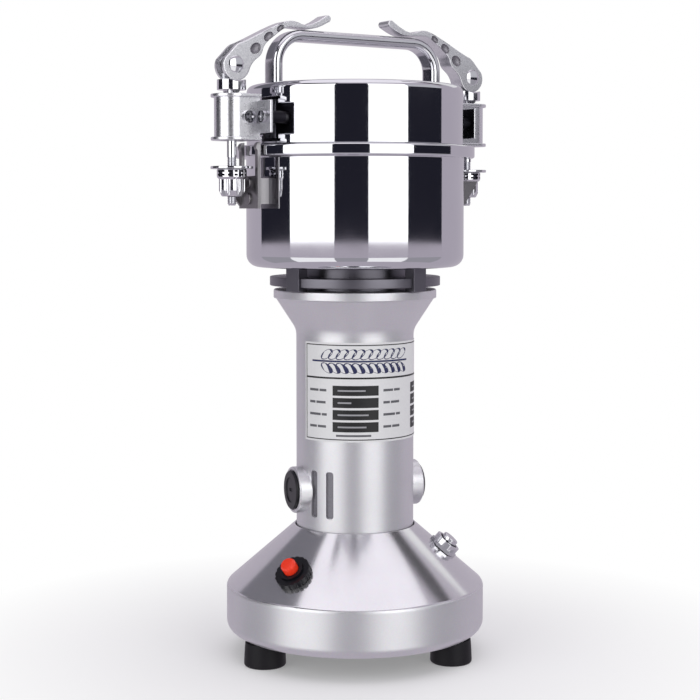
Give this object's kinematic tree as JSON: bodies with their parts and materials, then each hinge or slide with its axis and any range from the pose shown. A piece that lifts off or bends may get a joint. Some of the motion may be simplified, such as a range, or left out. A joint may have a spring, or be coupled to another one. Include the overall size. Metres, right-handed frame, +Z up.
{
  "type": "high-speed grain mill",
  "caption": "Small upright electric mill for grain, seeds and spices: motor column on a round base, steel bowl with cutting blades, lift-off lid held by over-centre lever clamps.",
  "frame": {"origin": "on the floor, under the axis of the motor's shaft", "axes": "+Z up along the motor's shaft; the two lever clamps lie 11.8 degrees anticlockwise of +X and -X, seen from above; the rating label faces -Y"},
  "size_m": [0.1468, 0.12, 0.2944],
  "materials": {
    "rubber": "moulded rubber, matte",
    "black_plastic": "moulded black plastic, satin",
    "satin_aluminium": "die-cast aluminium with a fine silver coat, satin",
    "mirror_steel": "mirror-polished stainless steel",
    "polished_steel": "polished zinc-plated steel",
    "pressed_steel": "pressed steel, dull",
    "dark_metal": "cast, mid grey, matte",
    "bright_fastener": "zinc-plated screws",
    "ground_steel": "ground steel",
    "laminated_steel": "stacked electrical steel",
    "copper_wire": "enamelled copper wire",
    "commutator_copper": "turned copper bars",
    "carbon": "pressed carbon",
    "fan_plastic": "moulded pale plastic",
    "label_sheet": "printed plastic sheet, satin",
    "red_plastic": "moulded red plastic, glossy",
    "silicone": "silicone rubber"
  },
  "bodies": {
    "root": {"rubber_feet": "rubber", "foot_screws": "bright_fastener", "bottom_plate": "black_plastic", "base_shell": "satin_aluminium", "motor_housing": "satin_aluminium", "rating_label": "label_sheet", "brush_holders": "polished_steel", "brush_caps": "black_plastic", "carbon_brushes": "carbon", "bearing_bridge": "black_plastic", "lower_bearing": "ground_steel", "upper_bearing": "ground_steel", "stator_core": "laminated_steel", "field_windings": "copper_wire", "end_shield": "dark_metal", "baffle_disc": "dark_metal", "standoff_posts": "dark_metal", "bowl_screws": "bright_fastener", "shaft_seal": "black_plastic", "grinding_bowl": "mirror_steel", "hook_bracket_left": "pressed_steel", "hook_bracket_right": "pressed_steel", "hook_studs": "pressed_steel", "reset_bezel": "black_plastic", "reset_breaker": "black_plastic", "power_bezel": "bright_fastener", "power_switch": "black_plastic", "cord_gland": "black_plastic"},
    "rotor": {"motor_shaft": "ground_steel", "armature_core": "laminated_steel", "armature_windings": "copper_wire", "commutator": "commutator_copper", "cooling_fan": "fan_plastic", "lower_blade": "ground_steel", "blade_spacer": "ground_steel", "upper_blade": "ground_steel", "blade_nut": "bright_fastener"},
    "lid": {"lid_shell": "mirror_steel", "lid_liner": "mirror_steel", "lid_seal": "silicone", "handle": "polished_steel", "handle_screws": "bright_fastener", "clamp_bracket_left": "pressed_steel", "clamp_bracket_right": "pressed_steel", "bracket_screws": "bright_fastener"},
    "reset_button": {"reset_button": "red_plastic"},
    "power_button": {"power_button": "polished_steel"},
    "saddle_left": {"clamp_saddle_left": "polished_steel"},
    "rod_left": {"clamp_rod_left": "polished_steel"},
    "lever_left": {"lever_left": "polished_steel", "lever_pin_left": "polished_steel"},
    "washer_left": {"clamp_washer_left": "polished_steel"},
    "nut_left": {"adjusting_nut_left": "polished_steel"},
    "saddle_right": {"clamp_saddle_right": "polished_steel"},
    "rod_right": {"clamp_rod_right": "polished_steel"},
    "lever_right": {"lever_right": "polished_steel", "lever_pin_right": "polished_steel"},
    "washer_right": {"clamp_washer_right": "polished_steel"},
    "nut_right": {"adjusting_nut_right": "polished_steel"}
  },
  "joints": [
    {"name": "rotor_spin", "type": "hinge", "parent": "root", "child": "rotor", "pos_m": [0, 0, 0.18017], "axis": [0, 0, 1], "continuous": true},
    {"name": "lid_lift", "type": "slide", "parent": "root", "child": "lid", "axis": [0, 0, 1], "range_m": [0, 0.06]},
    {"name": "clamp_swing_left", "type": "hinge", "parent": "lid", "child": "saddle_left", "pos_m": [-0.06402, -0.01337, 0.25897], "axis": [-0.2045, 0.9789, 0], "range_deg": [0, 7]},
    {"name": "rod_drop_left", "type": "slide", "parent": "saddle_left", "child": "rod_left", "axis": [0, 0, -1], "range_m": [0, 0.0012]},
    {"name": "lever_left", "type": "hinge", "parent": "rod_left", "child": "lever_left", "pos_m": [-0.06402, -0.01337, 0.26997], "axis": [0.2045, -0.9789, 0], "range_deg": [0, 115]},
    {"name": "washer_slide_left", "type": "slide", "parent": "rod_left", "child": "washer_left", "axis": [0, 0, 1], "range_m": [-0.0007, 0.0007]},
    {"name": "nut_turn_left", "type": "hinge", "parent": "washer_left", "child": "nut_left", "pos_m": [-0.06402, -0.01337, 0.21997], "axis": [0, 0, 1], "range_deg": [-360, 360]},
    {"name": "clamp_swing_right", "type": "hinge", "parent": "lid", "child": "saddle_right", "pos_m": [0.06402, 0.01337, 0.25897], "axis": [0.2045, -0.9789, 0], "range_deg": [0, 7]},
    {"name": "rod_drop_right", "type": "slide", "parent": "saddle_right", "child": "rod_right", "axis": [0, 0, -1], "range_m": [0, 0.0012]},
    {"name": "lever_right", "type": "hinge", "parent": "rod_right", "child": "lever_right", "pos_m": [0.06402, 0.01337, 0.26997], "axis": [-0.2045, 0.9789, 0], "range_deg": [0, 115]},
    {"name": "washer_slide_right", "type": "slide", "parent": "rod_right", "child": "washer_right", "axis": [0, 0, 1], "range_m": [-0.0007, 0.0007]},
    {"name": "nut_turn_right", "type": "hinge", "parent": "washer_right", "child": "nut_right", "pos_m": [0.06402, 0.01337, 0.21997], "axis": [0, 0, 1], "range_deg": [-360, 360]},
    {"name": "reset_press", "type": "slide", "parent": "root", "child": "reset_button", "axis": [0.5502, 0.3573, -0.7547], "range_m": [0, 0.0015], "stiffness_N_per_m": 300, "springref_m": -0.0004},
    {"name": "power_press", "type": "slide", "parent": "root", "child": "power_button", "axis": [-0.5793, 0.308, -0.7547], "range_m": [0, 0.0015], "stiffness_N_per_m": 300, "springref_m": -0.0004}
  ],
  "couplings": [
    {"joint": "lever_left", "follows": "rod_drop_left", "rad_per_m": 1672.6},
    {"joint": "clamp_swing_left", "follows": "rod_drop_left", "rad_per_m": 101.79},
    {"joint": "nut_turn_left", "follows": "washer_slide_left", "rad_per_m": 8975.9},
    {"joint": "lever_right", "follows": "rod_drop_right", "rad_per_m": 1672.6},
    {"joint": "clamp_swing_right", "follows": "rod_drop_right", "rad_per_m": 101.79},
    {"joint": "nut_turn_right", "follows": "washer_slide_right", "rad_per_m": 8975.9}
  ]
}
